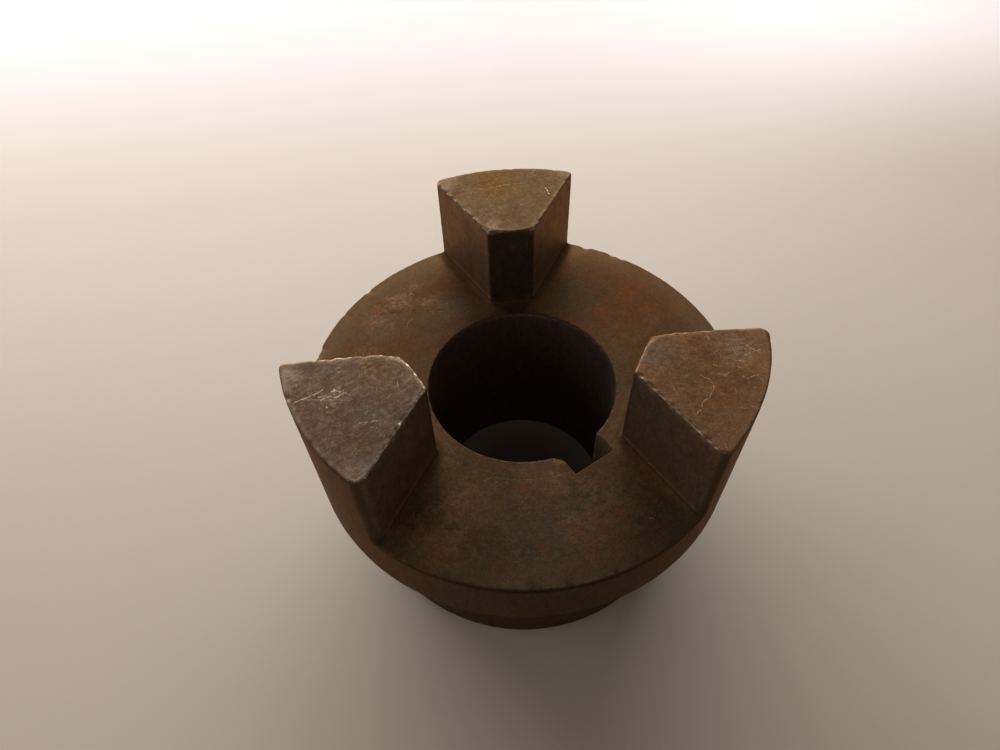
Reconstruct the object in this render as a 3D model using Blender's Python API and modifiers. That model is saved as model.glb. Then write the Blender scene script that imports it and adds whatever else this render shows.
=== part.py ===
"""Jaw coupling hub with its set screw: one half of a three-jaw shaft coupling.

Metres, +Z along the bore from the back face up to the jaw tips. The origin is
the centre of the back face. The keyway and the set screw are on the -Y side.
"""
import math

import bmesh
import bpy
from mathutils import Matrix, Vector

MM = 0.001
INCH = 25.4 * MM

# Hub body, a turned ring: a boss at the back and a wider rim that carries the jaws
RIM_RADIUS = 3.75 * INCH / 2
RIM_THICKNESS = 13.7 * MM
BOSS_RADIUS = 3.125 * INCH / 2
BORE_RADIUS = 1.625 * INCH / 2
BORE_LENGTH = 1.75 * INCH
RIM_EDGE_BREAK = 0.4 * MM
BOSS_EDGE_BREAK = 0.8 * MM
BOSS_FILLET = 1.6 * MM

# Jaws: wedges with flat upright sides, each parallel to the spider leg beside it
JAW_COUNT = 3
FIRST_JAW_ANGLE = math.radians(-60)
JAW_HEIGHT = 22.0 * MM
JAW_INNER_RADIUS = 24.75 * MM
JAW_SETBACK = 0.2 * MM             # the jaws stand a hair inside the rim
SPIDER_LEG_WIDTH = 16.1 * MM
SPIDER_LEG_OFFSET = math.radians(30)   # from a jaw's centre to the leg beside it
JAW_OUTER_CORNER = 2.0 * MM
JAW_INNER_CORNER = 1.2 * MM
JAW_TOP_EDGE_BREAK = 0.5 * MM
JAW_ROOT_FILLET = 1.6 * MM
JAW_EMBED = 3.0 * MM               # how far a jaw's blank reaches into the rim

# Keyway, cut the whole length of the bore
KEYWAY_WIDTH = 9.6 * MM
KEYWAY_FLOOR = 25.3 * MM           # from the bore's axis

# Set screw, 3/8 inch, in a tapped hole through the boss onto the key
SCREW_RADIUS = 0.375 * INCH / 2
SCREW_LENGTH = 0.5 * INCH
SCREW_CLEARANCE = 0.3 * MM
SCREW_TIP_RADIUS_AT_REST = 26.0 * MM
SCREW_END_BREAK = 0.7 * MM
CUP_RADIUS = 2.6 * MM
CUP_DEPTH = 1.2 * MM
SOCKET_ACROSS_FLATS = 0.1875 * INCH
SOCKET_DEPTH = 5.2 * MM

TURN_STEPS = 120
ARC_STEPS = 5

RIM_UNDERSIDE = BORE_LENGTH - RIM_THICKNESS
SCREW_HEIGHT = RIM_UNDERSIDE / 2
TOTAL_HEIGHT = BORE_LENGTH + JAW_HEIGHT


def clear_scene():
    for scene_object in list(bpy.data.objects):
        bpy.data.objects.remove(scene_object, do_unlink=True)


def make_collection(name):
    collection = bpy.data.collections.new(name)
    bpy.context.scene.collection.children.link(collection)
    return collection


def make_material(name, colour, roughness, metallic):
    material = bpy.data.materials.new(name)
    material.use_nodes = True
    shader = material.node_tree.nodes["Principled BSDF"]
    shader.inputs["Base Color"].default_value = (*colour, 1.0)
    shader.inputs["Roughness"].default_value = roughness
    shader.inputs["Metallic"].default_value = metallic
    return material


def add_object(name, mesh, collection, material=None):
    new_object = bpy.data.objects.new(name, mesh)
    collection.objects.link(new_object)
    if material:
        mesh.materials.append(material)
    return new_object


def hide_as_cutter(cutter):
    cutter.hide_render = True
    cutter.display_type = "WIRE"


def add_boolean(target, operation, other):
    modifier = target.modifiers.new(f"{operation.lower()}_{other.name}", "BOOLEAN")
    modifier.operation = operation
    modifier.solver = "EXACT"
    modifier.object = other


def arc_points(centre, radius, start, end, steps=ARC_STEPS):
    """Points on an arc, both ends included; the angles are in radians."""
    points = []
    for step in range(steps + 1):
        angle = start + (end - start) * step / steps
        points.append(centre + radius * Vector((math.cos(angle), math.sin(angle))))
    return points


def turned_mesh(name, profile, closed):
    """A profile of (radius, height) points, for a Screw modifier about Z."""
    mesh = bpy.data.meshes.new(name)
    vertices = [(radius, 0.0, height) for radius, height in profile]
    edges = [(index, index + 1) for index in range(len(profile) - 1)]
    if closed:
        edges.append((len(profile) - 1, 0))
    mesh.from_pydata(vertices, edges, [])
    return mesh


def add_screw(turned_object, steps):
    modifier = turned_object.modifiers.new("turn", "SCREW")
    modifier.axis = "Z"
    modifier.angle = math.tau
    modifier.steps = steps
    modifier.render_steps = steps
    modifier.use_merge_vertices = True
    modifier.merge_threshold = 0.00001
    modifier.use_smooth_shade = True
    return modifier


def hub_profile():
    """The ring's half section, down the outer side and back up the bore."""
    fillet_centre = Vector((BOSS_RADIUS + BOSS_FILLET, RIM_UNDERSIDE - BOSS_FILLET))
    fillet = arc_points(fillet_centre, BOSS_FILLET, math.radians(90), math.radians(180))
    return [
        (BORE_RADIUS, BORE_LENGTH),
        (RIM_RADIUS - RIM_EDGE_BREAK, BORE_LENGTH),
        (RIM_RADIUS, BORE_LENGTH - RIM_EDGE_BREAK),
        (RIM_RADIUS, RIM_UNDERSIDE + RIM_EDGE_BREAK),
        (RIM_RADIUS - RIM_EDGE_BREAK, RIM_UNDERSIDE),
        *[tuple(point) for point in fillet],
        (BOSS_RADIUS, BOSS_EDGE_BREAK),
        (BOSS_RADIUS - BOSS_EDGE_BREAK, 0.0),
        (BORE_RADIUS, 0.0),
    ]


def jaw_outline(side_grow, outer_radius):
    """One jaw's section, centred on +X, anticlockwise, with rounded corners.

    side_grow moves the two sides and the inner face outward, for the root
    fillet, or inward, for the edge break; the outer face keeps outer_radius.
    """
    leg_direction = Vector((math.cos(SPIDER_LEG_OFFSET), math.sin(SPIDER_LEG_OFFSET)))
    side_normal = Vector((-leg_direction.y, leg_direction.x))
    side_distance = side_grow - SPIDER_LEG_WIDTH / 2
    inner_x = JAW_INNER_RADIUS - side_grow

    # Outer corner: an arc that touches the side and the outer face
    outer_blend = JAW_OUTER_CORNER + side_grow
    centre_distance = side_distance - outer_blend
    along = math.sqrt((outer_radius - outer_blend) ** 2 - centre_distance ** 2)
    outer_centre = leg_direction * along + side_normal * centre_distance
    outer_angle = math.atan2(outer_centre.y, outer_centre.x)
    side_angle = math.atan2(side_normal.y, side_normal.x)
    outer_corner = arc_points(outer_centre, outer_blend, outer_angle, side_angle)

    # Inner corner: an arc that touches the side and the flat inner face
    inner_blend = JAW_INNER_CORNER + side_grow
    centre_x = inner_x + inner_blend
    centre_y = (side_distance - inner_blend - side_normal.x * centre_x) / side_normal.y
    inner_corner = arc_points(Vector((centre_x, centre_y)), inner_blend, side_angle, math.pi)

    outer_face = arc_points(Vector((0, 0)), outer_radius, 0, outer_angle, steps=6)
    upper_half = outer_face[:-1] + outer_corner + inner_corner
    lower_half = [Vector((point.x, -point.y)) for point in reversed(upper_half[1:])]
    return upper_half + lower_half


def jaw_mesh(angle):
    """A jaw lofted from its flared root to its broken top edge."""
    outer_radius = RIM_RADIUS - JAW_SETBACK
    sections = [(BORE_LENGTH - JAW_EMBED, JAW_ROOT_FILLET, outer_radius)]
    for step in range(ARC_STEPS + 1):
        sweep = math.radians(90) * step / ARC_STEPS
        height = BORE_LENGTH + JAW_ROOT_FILLET * (1 - math.cos(sweep))
        grow = JAW_ROOT_FILLET * (1 - math.sin(sweep))
        sections.append((height, grow, outer_radius))
    sections.append((TOTAL_HEIGHT - JAW_TOP_EDGE_BREAK, 0.0, outer_radius))
    top_radius = outer_radius - JAW_TOP_EDGE_BREAK
    sections.append((TOTAL_HEIGHT, -JAW_TOP_EDGE_BREAK, top_radius))

    turn = Matrix.Rotation(angle, 4, "Z")
    loft = bmesh.new()
    rings = []
    for height, grow, radius in sections:
        outline = jaw_outline(grow, radius)
        rings.append([loft.verts.new(turn @ Vector((*point, height))) for point in outline])
    for lower, upper in zip(rings, rings[1:]):
        for index in range(len(lower)):
            following = (index + 1) % len(lower)
            loft.faces.new((lower[index], lower[following], upper[following], upper[index]))
    loft.faces.new(reversed(rings[0]))
    loft.faces.new(rings[-1])
    mesh = bpy.data.meshes.new("jaw_blank")
    loft.to_mesh(mesh)
    loft.free()
    return mesh


def add_box_cutter(name, low, high, collection):
    low, high = Vector(low), Vector(high)
    bm = bmesh.new()
    bmesh.ops.create_cube(bm, size=1.0)
    bmesh.ops.scale(bm, vec=high - low, verts=bm.verts)
    bmesh.ops.translate(bm, vec=(low + high) / 2, verts=bm.verts)
    mesh = bpy.data.meshes.new(name)
    bm.to_mesh(mesh)
    bm.free()
    cutter = add_object(name, mesh, collection)
    hide_as_cutter(cutter)
    return cutter


def add_rod_cutter(name, radius, start, end, sides, collection):
    """A round or hexagonal rod from start to end, both points on its axis."""
    start, end = Vector(start), Vector(end)
    bm = bmesh.new()
    bmesh.ops.create_cone(bm, cap_ends=True, segments=sides, radius1=radius,
                          radius2=radius, depth=(end - start).length)
    mesh = bpy.data.meshes.new(name)
    bm.to_mesh(mesh)
    bm.free()
    cutter = add_object(name, mesh, collection)
    cutter.location = (start + end) / 2
    cutter.rotation_euler = (end - start).to_track_quat("Z", "Y").to_euler()
    hide_as_cutter(cutter)
    return cutter


def build_hub(parts, cutters):
    iron = make_material("oiled_iron", (0.075, 0.052, 0.038), 0.5, 0.7)
    hub = add_object("jaw_hub", turned_mesh("jaw_hub", hub_profile(), closed=True), parts, iron)
    add_screw(hub, TURN_STEPS)

    for index in range(JAW_COUNT):
        angle = FIRST_JAW_ANGLE + math.tau * index / JAW_COUNT
        jaw = add_object(f"jaw_blank_{index + 1}", jaw_mesh(angle), cutters)
        hide_as_cutter(jaw)
        add_boolean(hub, "UNION", jaw)

    overrun = 5 * MM
    keyway = add_box_cutter(
        "keyway_cutter",
        (-KEYWAY_WIDTH / 2, -KEYWAY_FLOOR, -overrun),
        (KEYWAY_WIDTH / 2, 0.0, BORE_LENGTH + overrun),
        cutters,
    )
    add_boolean(hub, "DIFFERENCE", keyway)

    tapped_hole = add_rod_cutter(
        "tapped_hole_cutter",
        SCREW_RADIUS + SCREW_CLEARANCE,
        (0.0, -KEYWAY_FLOOR + overrun, SCREW_HEIGHT),
        (0.0, -BOSS_RADIUS - overrun, SCREW_HEIGHT),
        48,
        cutters,
    )
    add_boolean(hub, "DIFFERENCE", tapped_hole)
    return hub


def screw_profile():
    """The set screw's half section, from its socket end down to its cup point."""
    return [
        (0.0, SCREW_LENGTH),
        (SCREW_RADIUS - SCREW_END_BREAK, SCREW_LENGTH),
        (SCREW_RADIUS, SCREW_LENGTH - SCREW_END_BREAK),
        (SCREW_RADIUS, SCREW_RADIUS - CUP_RADIUS),
        (CUP_RADIUS, 0.0),
        (0.0, CUP_DEPTH),
    ]


def build_set_screw(parts, cutters):
    steel = make_material("black_oxide_steel", (0.045, 0.042, 0.04), 0.4, 0.85)
    mesh = turned_mesh("set_screw", screw_profile(), closed=False)
    screw = add_object("set_screw", mesh, parts, steel)
    add_screw(screw, 48)

    # The origin is the cup end, on the joint axis; the socket end points along -Y
    screw.location = (0.0, -SCREW_TIP_RADIUS_AT_REST, SCREW_HEIGHT)
    screw.rotation_euler = (math.radians(90), 0.0, 0.0)

    socket_end = -SCREW_TIP_RADIUS_AT_REST - SCREW_LENGTH
    socket = add_rod_cutter(
        "socket_cutter",
        SOCKET_ACROSS_FLATS / 2 / math.cos(math.radians(30)),
        (0.0, socket_end + SOCKET_DEPTH, SCREW_HEIGHT),
        (0.0, socket_end - SOCKET_DEPTH, SCREW_HEIGHT),
        6,
        cutters,
    )
    add_boolean(screw, "DIFFERENCE", socket)
    return screw


def main():
    clear_scene()
    parts = make_collection("jaw_coupling_hub")
    cutters = make_collection("cutters")
    build_hub(parts, cutters)
    build_set_screw(parts, cutters)


main()
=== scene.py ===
"""The looks of a jaw coupling hub: worn, oily brown iron, with its black set screw.

The hub is built here again as one finely meshed skin, with the rounded, nicked
edges that years of use leave, and stands for the plain CAD solid. Sizes are in
millimetres in this script and become metres when a mesh is made.
"""
import math

import bmesh
import bpy
import numpy as np
from mathutils import Matrix, Quaternion, Vector, noise
from mathutils.geometry import delaunay_2d_cdt


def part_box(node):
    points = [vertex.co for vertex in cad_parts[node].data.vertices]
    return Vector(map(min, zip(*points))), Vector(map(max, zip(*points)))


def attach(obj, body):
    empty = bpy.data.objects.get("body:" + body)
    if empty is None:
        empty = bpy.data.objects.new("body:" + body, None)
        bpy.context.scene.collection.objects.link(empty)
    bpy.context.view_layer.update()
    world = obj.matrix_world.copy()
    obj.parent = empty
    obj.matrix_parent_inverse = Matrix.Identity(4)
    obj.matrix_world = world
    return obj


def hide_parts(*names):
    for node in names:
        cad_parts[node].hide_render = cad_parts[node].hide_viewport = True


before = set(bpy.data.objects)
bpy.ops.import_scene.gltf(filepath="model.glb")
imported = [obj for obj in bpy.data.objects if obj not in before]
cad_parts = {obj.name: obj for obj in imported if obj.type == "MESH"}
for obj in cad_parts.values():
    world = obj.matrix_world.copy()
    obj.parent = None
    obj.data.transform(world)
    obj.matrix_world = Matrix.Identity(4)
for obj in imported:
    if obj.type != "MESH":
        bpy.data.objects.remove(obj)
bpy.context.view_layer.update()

MM = 0.001
INCH = 25.4

_, hub_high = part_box("jaw_hub")
screw_low, screw_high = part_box("set_screw")

# The hub, from the frame and from the sizes that the CAD was drawn to
RIM_RADIUS = hub_high.x / MM
TIP_HEIGHT = hub_high.z / MM
FACE_HEIGHT = 1.75 * INCH
RIM_UNDERSIDE = FACE_HEIGHT - 13.7
BOSS_RADIUS = 3.125 * INCH / 2
BORE_RADIUS = 1.625 * INCH / 2
KEYWAY_HALF_WIDTH = 4.8
KEYWAY_FLOOR = 25.3

# Jaws: each side is flat and parallel to the spider leg beside it
JAW_ANGLES = [math.radians(degrees) for degrees in (-60, 60, 180)]
JAW_INNER_RADIUS = 24.75
LEG_HALF_WIDTH = 8.05
LEG_DIRECTION = np.array([math.cos(math.radians(30)), math.sin(math.radians(30))])
SIDE_NORMAL = np.array([-LEG_DIRECTION[1], LEG_DIRECTION[0]])
# Outer corner radii on each jaw's +Y and -Y sides, as JAW_ANGLES has the jaws
OUTER_CORNERS = [(1.9, 1.9), (1.4, 0.6), (2.2, 1.3)]
INNER_CORNER = 0.9

# Edges: how round each one is
ROOT_FILLET = 0.9
RIM_EDGE = 0.3
RIM_LOWER_EDGE = 0.5
BOSS_EDGE = 0.8
BOSS_FILLET = 1.6
BORE_EDGE = 0.18
TIP_EDGE = 0.32
# How much more the tip is worn at a jaw's nose corners and outer corners, in the same order
NOSE_WEAR = [(1.2, 0.25), (0.9, 0.4), (0.6, 1.9)]
OUTER_WEAR = [(0.8, 0.1), (0.2, 0.0), (0.0, 0.8)]
# How far from a corner its wear runs
NOSE_REACH = 3.6
OUTER_REACH = 9

# Set screw and its tapped hole
SCREW_RADIUS = (screw_high.x - screw_low.x) / 2 / MM
SCREW_HEIGHT = (screw_high.z + screw_low.z) / 2 / MM
SCREW_CUP_Y = screw_high.y / MM
SCREW_LENGTH = (screw_high.y - screw_low.y) / MM
PITCH = INCH / 16
HOLE_MINOR_RADIUS = SCREW_RADIUS + 0.08
HOLE_MAJOR_RADIUS = SCREW_RADIUS + 0.75
HOLE_MOUTH_BREAK = 0.6
HOLE_MOUTH_RADIUS = HOLE_MAJOR_RADIUS + HOLE_MOUTH_BREAK
HOLE_END_RADIUS = KEYWAY_HALF_WIDTH - 0.1
SOCKET_HALF_FLATS = 0.1875 * INCH / 2
SOCKET_DEPTH = 5.2

# Mesh density
EDGE_STEP = 0.45
FACE_STEP = 1.3
WELD = 0.0005
SLIVER = 2e-5

FLANGE, TIP_RIGHT, TIP_BACK, TIP_LEFT, JAW_SIDE, TURNED, BORE, BACK, THREAD = range(9)


# ---------------------------------------------------------------- plane geometry

def turned_by(points, angle):
    """2D points turned about the bore's axis."""
    points = np.asarray(points, float)
    cosine, sine = math.cos(angle), math.sin(angle)
    x, y = points[..., 0], points[..., 1]
    return np.stack([x * cosine - y * sine, x * sine + y * cosine], -1)


def length(vectors):
    return np.linalg.norm(vectors, axis=-1)


def directions(angles):
    """Unit vectors in plan at these angles."""
    return np.stack([np.cos(angles), np.sin(angles)], -1)


def arc(centre, radius, start, end, count):
    return np.asarray(centre) + radius * directions(np.linspace(start, end, count))


def straight(start, end):
    start, end = np.asarray(start, float), np.asarray(end, float)
    count = max(2, int(length(end - start) / EDGE_STEP) + 1)
    return start + (end - start) * np.linspace(0, 1, count)[:, None]


def outer_centre(corner):
    """The centre of a jaw's outer corner arc of this radius, on its +Y side."""
    across = -LEG_HALF_WIDTH - corner
    along = math.sqrt((RIM_RADIUS - corner) ** 2 - across ** 2)
    return LEG_DIRECTION * along + SIDE_NORMAL * across


def tangent_angle(corner):
    """How far from a jaw's middle its outer corner of this radius leaves the rim."""
    centre = outer_centre(corner)
    return math.atan2(centre[1], centre[0])


def inner_centre():
    """The centre of a jaw's inner corner arc, on its +Y side."""
    inner_x = JAW_INNER_RADIUS + INNER_CORNER
    across = -LEG_HALF_WIDTH - INNER_CORNER
    return np.array([inner_x, (across - SIDE_NORMAL[0] * inner_x) / SIDE_NORMAL[1]])


INNER_CENTRE = inner_centre()
OUTER_CENTRE = outer_centre(OUTER_CORNERS[0][0])
SIDE_ANGLE = math.atan2(SIDE_NORMAL[1], SIDE_NORMAL[0])


def corner_distance(point, centre, radius, first, first_along, second, second_along):
    """Signed distance to two faces that a rounded corner joins."""
    offset = point - centre
    past_both = ((offset * first_along).sum(-1) > 0) & ((offset * second_along).sum(-1) > 0)
    rounded = length(offset) - radius
    return np.where(past_both, rounded, np.maximum(first, second))


def half_jaw_distance(local, corner):
    """Signed distance to the +Y half of a jaw whose middle lies along +X."""
    side = (local * SIDE_NORMAL).sum(-1) + LEG_HALF_WIDTH
    nose = JAW_INNER_RADIUS - local[..., 0]
    radius = length(local)
    centre = outer_centre(corner)
    outward = centre / length(centre)
    around = np.array([-outward[1], outward[0]])
    at_nose = corner_distance(local, INNER_CENTRE, INNER_CORNER,
                              side, -LEG_DIRECTION, nose, np.array([0.0, 1.0]))
    at_rim = corner_distance(local, centre, corner,
                             side, LEG_DIRECTION, radius - RIM_RADIUS, around)
    return np.maximum(at_nose, at_rim)


def jaw_distance(points):
    """Signed distance from 2D points to the nearest jaw's outline; positive outside."""
    points = np.asarray(points, float)
    nearest = np.full(points.shape[:-1], 1e9)
    for angle, corners in zip(JAW_ANGLES, OUTER_CORNERS):
        local = turned_by(points, -angle)
        folded = np.stack([local[..., 0], np.abs(local[..., 1])], -1)
        halves = [half_jaw_distance(folded, corner) for corner in corners]
        nearest = np.minimum(nearest, np.where(local[..., 1] > 0, *halves))
    return nearest


def bore_distance(points):
    """Signed distance to the outline of the bore and its keyway; positive in the iron."""
    points = np.asarray(points, float)
    bore = length(points) - BORE_RADIUS
    across = np.abs(points[..., 0]) - KEYWAY_HALF_WIDTH
    along = np.abs(points[..., 1] + KEYWAY_FLOOR / 2) - KEYWAY_FLOOR / 2
    outside = np.hypot(np.maximum(across, 0), np.maximum(along, 0))
    keyway = outside + np.minimum(np.maximum(across, along), 0)
    return np.minimum(bore, keyway)


def rounding(distance, radius):
    """How far a rounded edge of this radius has dropped, this far in from the wall."""
    distance = np.where(np.asarray(distance) < 0.005, 0, distance)
    inside = np.clip(1 - distance / radius, 0, 1)
    return radius * (1 - np.sqrt(1 - inside ** 2))


def noise_at(points, size, seed):
    """Smooth noise from about -1 to 1, with bumps about this many millimetres wide."""
    points = np.atleast_2d(points)
    padded = np.zeros((len(points), 3))
    padded[:, :points.shape[1]] = points
    offset = Vector((seed * 17.3, seed * -9.1, seed * 5.7))
    return np.array([noise.noise(Vector(point) / size + offset) for point in padded])


def tip_edge_radius(points):
    """Radius of the jaws' top edge: uneven, and most worn at the corners."""
    points = np.atleast_2d(points)
    uneven = 1 + 0.3 * noise_at(points, size=5, seed=1) + 0.2 * noise_at(points, size=1.3, seed=2)
    worn = np.zeros(len(points))
    for angle, at_nose, at_rim in zip(JAW_ANGLES, NOSE_WEAR, OUTER_WEAR):
        local = turned_by(points, -angle)
        folded = np.stack([local[:, 0], np.abs(local[:, 1])], -1)
        for corner, wear, reach in ((INNER_CENTRE, at_nose, NOSE_REACH),
                                    (OUTER_CENTRE, at_rim, OUTER_REACH)):
            away = length(folded - corner)
            extra = np.where(local[:, 1] > 0, *wear)
            worn = np.maximum(worn, extra * np.clip(1 - away / reach, 0, 1) ** 1.5)
    return TIP_EDGE * np.clip(uneven, 0.45, 1.8) + worn


def rim_edge_radius(points):
    uneven = 1 + 0.4 * noise_at(points, size=6, seed=3) + 0.3 * noise_at(points, size=1.6, seed=4)
    return RIM_EDGE * np.clip(uneven, 0.5, 1.9)


def face_height(points):
    """The flange face: flat, rising in the jaws' root fillets, broken at its edges."""
    points = np.atleast_2d(points)
    radius = length(points)
    height = FACE_HEIGHT + rounding(np.maximum(jaw_distance(points), 0), ROOT_FILLET)
    height = height - rounding(np.maximum(RIM_RADIUS - radius, 0), rim_edge_radius(points))
    return height - rounding(np.maximum(bore_distance(points), 0), BORE_EDGE)


def tip_height(points):
    points = np.atleast_2d(points)
    return TIP_HEIGHT - rounding(np.maximum(-jaw_distance(points), 0), tip_edge_radius(points))


# ---------------------------------------------------------------- mesh patches

class Skin:
    """Surface patches, collected and then welded into one closed mesh."""

    def __init__(self):
        self.points = []
        self.faces = []
        self.slots = []
        self.count = 0

    def add(self, points, faces, slot):
        self.points.append(np.asarray(points, float))
        self.faces += [[corner + self.count for corner in face] for face in faces]
        self.slots += [slot] * len(faces)
        self.count += len(points)

    def add_grid(self, rows, slot, closed):
        """Rows of points, each row of the same length, joined by four-sided faces."""
        height, width = len(rows), len(rows[0])
        across = range(width if closed else width - 1)
        faces = []
        for row in range(height - 1):
            for column in across:
                following = (column + 1) % width
                faces.append([row * width + column, row * width + following,
                              (row + 1) * width + following, (row + 1) * width + column])
        self.add(np.concatenate(rows), faces, slot)

    def mesh(self, name):
        mesh = bpy.data.meshes.new(name)
        mesh.from_pydata(np.concatenate(self.points).tolist(), [], self.faces)
        mesh.polygons.foreach_set("material_index", self.slots)
        return mesh


def triangulated(loops, extra_points, keep):
    """Delaunay triangles of closed loops and loose points, where keep(centres) is true."""
    points, edges = [], []
    for loop in loops:
        first = len(points)
        points += [Vector(point) for point in loop]
        edges += [(first + i, first + (i + 1) % len(loop)) for i in range(len(loop))]
    _, distinct = np.unique(np.round(extra_points / 0.05), axis=0, return_index=True)
    points += [Vector(point) for point in extra_points[distinct]]
    # A point in the middle of the hollow, so that no thin triangle lies along its outline
    points.append(Vector((0, 0)))
    found, _, faces, *_ = delaunay_2d_cdt(points, edges, [], 0, 1e-7)
    found = np.array([tuple(point) for point in found])
    faces = np.array(faces)
    corners = found[faces]
    first, second = corners[:, 1] - corners[:, 0], corners[:, 2] - corners[:, 0]
    area = np.abs(first[:, 0] * second[:, 1] - first[:, 1] * second[:, 0])
    return found, faces[keep(corners.mean(1)) & (area > SLIVER)]


def hex_grid(reach, step):
    """Loose points over a square, in a honeycomb so that the triangles are even."""
    rows = np.arange(-reach, reach + step, step * 0.866)
    columns = np.arange(-reach, reach + step, step)
    return np.array([(x + (index % 2) * step / 2, y) for index, y in enumerate(rows)
                     for x in columns])


def edge_offsets(radius, steps=5):
    """Distances from a wall at which a rounded edge takes its rows of points."""
    sweep = np.linspace(0, math.pi / 2, steps + 1)[1:]
    return list(radius * (1 - np.cos(sweep))) + [radius * 1.35, radius * 1.35 + 0.35]


def half_jaw_path(corner):
    """Points from where a jaw leaves the rim to its nose's middle, and their normals."""
    centre = outer_centre(corner)
    outer = arc(centre, corner, tangent_angle(corner), SIDE_ANGLE, 12)
    inner = arc(INNER_CENTRE, INNER_CORNER, SIDE_ANGLE, math.pi, 8)
    side = straight(outer[-1], inner[0])
    nose = straight(inner[-1], (inner[-1][0], 0.0))
    path = np.concatenate([outer, side[1:-1], inner, nose[1:]])
    normals = [(outer - centre) / corner, np.tile(SIDE_NORMAL, (len(side) - 2, 1)),
               (inner - INNER_CENTRE) / INNER_CORNER, np.tile([-1.0, 0.0], (len(nose) - 1, 1))]
    return path, np.concatenate(normals)


def jaw_path(jaw):
    """A jaw's outline in place, round its nose from rim to rim, and its outward normals."""
    halves = [half_jaw_path(corner) for corner in OUTER_CORNERS[jaw]]
    mirror = np.array([1, -1])
    joined = [np.concatenate([upper, lower[-2::-1] * mirror]) for upper, lower in zip(*halves)]
    return [turned_by(part, JAW_ANGLES[jaw]) for part in joined]


def rim_angles(start, end):
    count = int(abs(end - start) * RIM_RADIUS / EDGE_STEP) + 1
    return np.linspace(start, end, count)


def on_rim(angles):
    return RIM_RADIUS * directions(angles)


def raised(points, heights):
    return np.column_stack([points, np.broadcast_to(heights, len(points))])


# ---------------------------------------------------------------- the hub's skin

def across_jaw(jaw):
    """The rim's angles along a jaw's outer face."""
    ahead, behind = [tangent_angle(corner) for corner in OUTER_CORNERS[jaw]]
    return rim_angles(JAW_ANGLES[jaw] - behind, JAW_ANGLES[jaw] + ahead)


def gap_after(jaw):
    """The rim's angles in the gap that follows a jaw, up to the next jaw."""
    start = JAW_ANGLES[jaw] + tangent_angle(OUTER_CORNERS[jaw][0])
    following = (jaw + 1) % len(JAW_ANGLES)
    end = JAW_ANGLES[jaw] + math.radians(120) - tangent_angle(OUTER_CORNERS[following][1])
    return rim_angles(start, end)


def whole_rim():
    """Every angle of the rim's outer wall, once round."""
    angles = []
    for jaw in range(len(JAW_ANGLES)):
        angles += [across_jaw(jaw)[:-1], gap_after(jaw)[:-1]]
    return np.concatenate(angles)


def bore_outline():
    """The bore with its keyway, from the floor's -X corner round to its +X corner."""
    wall_y = -math.sqrt(BORE_RADIUS ** 2 - KEYWAY_HALF_WIDTH ** 2)
    left_side = straight((-KEYWAY_HALF_WIDTH, -KEYWAY_FLOOR), (-KEYWAY_HALF_WIDTH, wall_y))
    start = math.atan2(wall_y, -KEYWAY_HALF_WIDTH)
    end = math.atan2(wall_y, KEYWAY_HALF_WIDTH) - math.tau
    circle = arc((0, 0), BORE_RADIUS, start, end, int((start - end) * BORE_RADIUS / 0.6))
    right_side = left_side[::-1] * np.array([-1, 1])
    return np.concatenate([left_side[:-1], circle, right_side[1:]])


def keyway_floor_line():
    return straight((KEYWAY_HALF_WIDTH, -KEYWAY_FLOOR), (-KEYWAY_HALF_WIDTH, -KEYWAY_FLOOR))


def bore_loop():
    return np.concatenate([bore_outline(), keyway_floor_line()[1:-1]])


def bore_edge_rows():
    rows = []
    for offset in edge_offsets(BORE_EDGE, 3):
        grown = [arc((0, 0), BORE_RADIUS + offset, 0, math.tau, 260)]
        grown.append(straight((-KEYWAY_HALF_WIDTH, -KEYWAY_FLOOR - offset),
                              (KEYWAY_HALF_WIDTH, -KEYWAY_FLOOR - offset)))
        for side in (-1, 1):
            x = side * (KEYWAY_HALF_WIDTH + offset)
            grown.append(straight((x, -KEYWAY_FLOOR), (x, -BORE_RADIUS + 0.5)))
        grown = np.concatenate(grown)
        rows.append(grown[bore_distance(grown) > offset * 0.9])
    return np.concatenate(rows)


def flange_points(rows):
    """Loose points over the flange: the rows beside its edges, and a grid between them."""
    rim_rows = [arc((0, 0), RIM_RADIUS - offset, 0, math.tau, 620)[:-1]
                for offset in edge_offsets(RIM_EDGE, 4)]
    grid = hex_grid(RIM_RADIUS, FACE_STEP)
    roomy = (jaw_distance(grid) > ROOT_FILLET + 1) & (RIM_RADIUS - length(grid) > 1.4)
    points = np.concatenate([*rows, *rim_rows, grid[roomy & (bore_distance(grid) > 1)]])
    inside = (jaw_distance(points) > 0.02) & (RIM_RADIUS - length(points) > 0.015)
    return points[inside & (bore_distance(points) > 0.02)]


def add_flange_face(skin):
    outline = []
    rows = [bore_edge_rows()]
    for jaw in range(len(JAW_ANGLES)):
        outline.append(on_rim(gap_after(jaw))[:-1])
        path, normals = jaw_path((jaw + 1) % len(JAW_ANGLES))
        outline.append(path[:0:-1])
        rows += [path + normals * offset for offset in edge_offsets(ROOT_FILLET)]

    def keep(centres):
        in_disc = length(centres) < RIM_RADIUS
        return in_disc & (jaw_distance(centres) > -1e-4) & (bore_distance(centres) > -0.01)

    loops = [np.concatenate(outline), bore_loop()]
    points, faces = triangulated(loops, flange_points(rows), keep)
    skin.add(raised(points, face_height(points)), faces.tolist(), FLANGE)


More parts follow.
